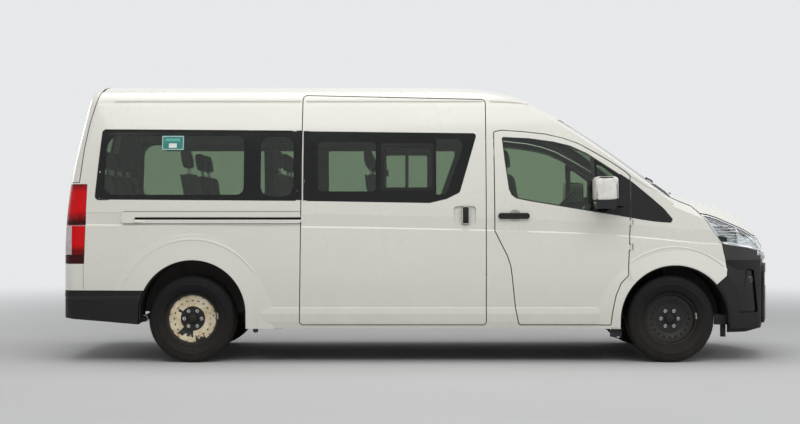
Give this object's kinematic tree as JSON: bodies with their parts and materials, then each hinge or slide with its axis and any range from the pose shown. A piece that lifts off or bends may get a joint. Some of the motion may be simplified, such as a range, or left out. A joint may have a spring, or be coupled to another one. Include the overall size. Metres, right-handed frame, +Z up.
{
  "type": "minibus",
  "caption": "Long mid-roof passenger minibus with hinged front doors, sliding side door, tailgate, bonnet, steered front wheels, seat rows and tinted side glass.",
  "frame": {"origin": "on the ground below the middle of the overall length, on the middle plane", "axes": "+X forward, +Y to the vehicle's left, +Z up; the picture looks along +Y"},
  "size_m": [5.915, 2.42, 2.28],
  "materials": {
    "body_paint": "gloss",
    "glass": "gloss",
    "bumper_plastic": "matt",
    "lamp_clear": "gloss",
    "lamp_red": "gloss",
    "tyre": "matt",
    "rim_steel": "satin",
    "chassis_steel": "matt",
    "engine": "matt",
    "seat_fabric": "matt",
    "cabin_plastic": "matt",
    "trim_chrome": "polished",
    "floor_vinyl": "matt"
  },
  "bodies": {
    "shell": {"sliding_door": "body_paint", "sliding_door_glass": "glass", "side_panel_right": "body_paint", "side_panel_left": "body_paint", "side_glass_right": "glass", "side_glass_left": "glass", "roof_panel": "body_paint", "windscreen": "glass", "cowl": "bumper_plastic", "front_fenders": "body_paint", "grille": "trim_chrome", "headlamps": "trim_chrome", "headlamp_lenses": "lamp_clear", "front_bumper": "bumper_plastic", "rear_bumper": "bumper_plastic", "tail_lamps": "lamp_red", "floor_pan": "floor_vinyl", "chassis_rails": "chassis_steel", "engine_block": "engine", "front_suspension": "chassis_steel", "rear_axle": "chassis_steel", "fuel_tank": "chassis_steel", "exhaust": "chassis_steel", "dashboard": "cabin_plastic", "front_seats": "seat_fabric", "rear_seats": "seat_fabric"},
    "front_door_right": {"front_door_right": "body_paint", "front_door_glass_right": "glass", "mirror_right": "bumper_plastic"},
    "front_door_left": {"front_door_left": "body_paint", "front_door_glass_left": "glass", "mirror_left": "bumper_plastic"},
    "bonnet": {"bonnet": "body_paint"},
    "tailgate": {"tailgate": "body_paint", "tailgate_glass": "glass"},
    "steering_wheel": {"steering_wheel": "cabin_plastic"},
    "knuckle_right": {"knuckle_right": "chassis_steel"},
    "knuckle_left": {"knuckle_left": "chassis_steel"},
    "wheel_front_right": {"rim_front_right": "rim_steel", "tyre_front_right": "tyre"},
    "wheel_front_left": {"rim_front_left": "rim_steel", "tyre_front_left": "tyre"},
    "wheel_rear_right": {"rim_rear_right": "rim_steel", "tyre_rear_right": "tyre"},
    "wheel_rear_left": {"rim_rear_left": "rim_steel", "tyre_rear_left": "tyre"}
  },
  "joints": [
    {"name": "front_door_right_hinge", "type": "hinge", "parent": "shell", "child": "front_door_right", "pos_m": [1.691, -0.966, 1], "axis": [0, 0, 1], "range_deg": [0, 70]},
    {"name": "front_door_left_hinge", "type": "hinge", "parent": "shell", "child": "front_door_left", "pos_m": [1.691, 0.966, 1], "axis": [0, 0, -1], "range_deg": [0, 70]},
    {"name": "bonnet_hinge", "type": "hinge", "parent": "shell", "child": "bonnet", "pos_m": [2.036, 0, 1.428], "axis": [0, -1, 0], "range_deg": [0, 50]},
    {"name": "tailgate_hinge", "type": "hinge", "parent": "shell", "child": "tailgate", "pos_m": [-2.605, 0, 2.274], "axis": [0, 1, 0], "range_deg": [0, 85]},
    {"name": "steer_left", "type": "hinge", "parent": "shell", "child": "knuckle_left", "pos_m": [2.0125, 0.775, 0.35], "axis": [0, 0, 1], "range_deg": [-35, 35]},
    {"name": "steer_right", "type": "hinge", "parent": "shell", "child": "knuckle_right", "pos_m": [2.0125, -0.775, 0.35], "axis": [0, 0, 1], "range_deg": [-35, 35]},
    {"name": "steering_wheel_turn", "type": "hinge", "parent": "shell", "child": "steering_wheel", "pos_m": [1.3, 0.42, 1.24], "axis": [-0.74, 0, 0.6726], "range_deg": [-530, 530]},
    {"name": "spin_front_right", "type": "hinge", "parent": "knuckle_right", "child": "wheel_front_right", "pos_m": [2.0125, -0.8375, 0.35], "axis": [0, 1, 0], "continuous": true},
    {"name": "spin_rear_right", "type": "hinge", "parent": "shell", "child": "wheel_rear_right", "pos_m": [-1.8475, -0.8375, 0.35], "axis": [0, 1, 0], "continuous": true},
    {"name": "spin_front_left", "type": "hinge", "parent": "knuckle_left", "child": "wheel_front_left", "pos_m": [2.0125, 0.8375, 0.35], "axis": [0, 1, 0], "continuous": true},
    {"name": "spin_rear_left", "type": "hinge", "parent": "shell", "child": "wheel_rear_left", "pos_m": [-1.8475, 0.8375, 0.35], "axis": [0, 1, 0], "continuous": true}
  ],
  "couplings": [
    {"joint": "steer_right", "follows": "steer_left", "ratio": 1},
    {"joint": "steering_wheel_turn", "follows": "steer_left", "ratio": 15}
  ]
}
